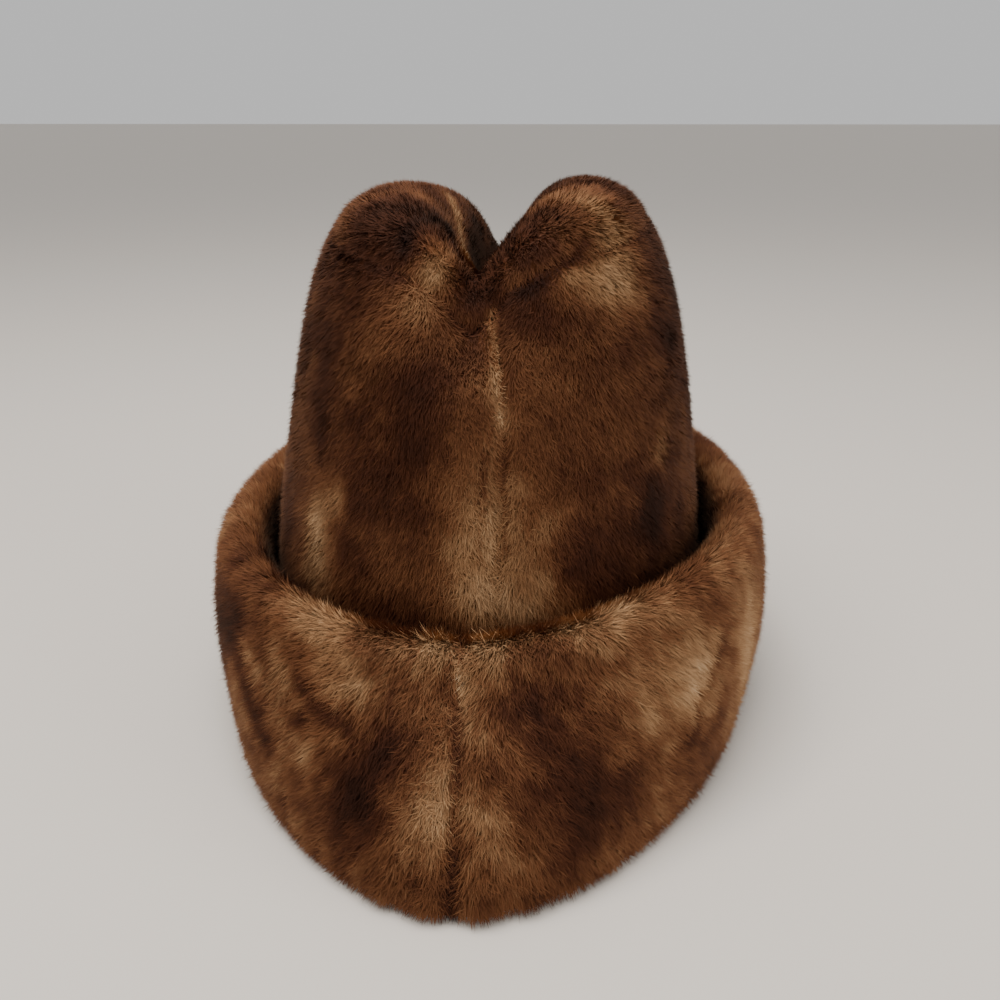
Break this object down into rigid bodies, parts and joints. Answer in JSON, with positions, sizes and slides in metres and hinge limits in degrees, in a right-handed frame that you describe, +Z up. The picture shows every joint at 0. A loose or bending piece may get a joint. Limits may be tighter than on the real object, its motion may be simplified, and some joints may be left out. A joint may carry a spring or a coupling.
{
  "type": "cossack hat",
  "caption": "Soft plush fur hat with a tall crown creased along its top between rounded lobes, and a thick fur cuff turned up all round, slanting forward at the front.",
  "frame": {"origin": "centre of the hat's length and width on the surface it rests on, at the bottom of the cuff", "axes": "+Z up, -Y towards the front, where the crown and cuff seams meet, and +X to the wearer's right when the hat is seen from the front with -Y towards the viewer"},
  "size_m": [0.2248, 0.3117, 0.2041],
  "materials": {
    "crown_left": "dark chestnut plush fur with a deep soft pile",
    "crown_right": "dark chestnut plush fur with a deep soft pile",
    "crown_tip": "dark chestnut plush fur, darker in the crease",
    "cuff_left": "chestnut to ochre plush fur with a deep soft pile",
    "cuff_right": "chestnut to ochre plush fur with a deep soft pile"
  },
  "bodies": {
    "root": {"crown_left": "crown_left", "crown_right": "crown_right", "crown_tip": "crown_tip", "cuff_left": "cuff_left", "cuff_right": "cuff_right"}
  },
  "joints": []
}
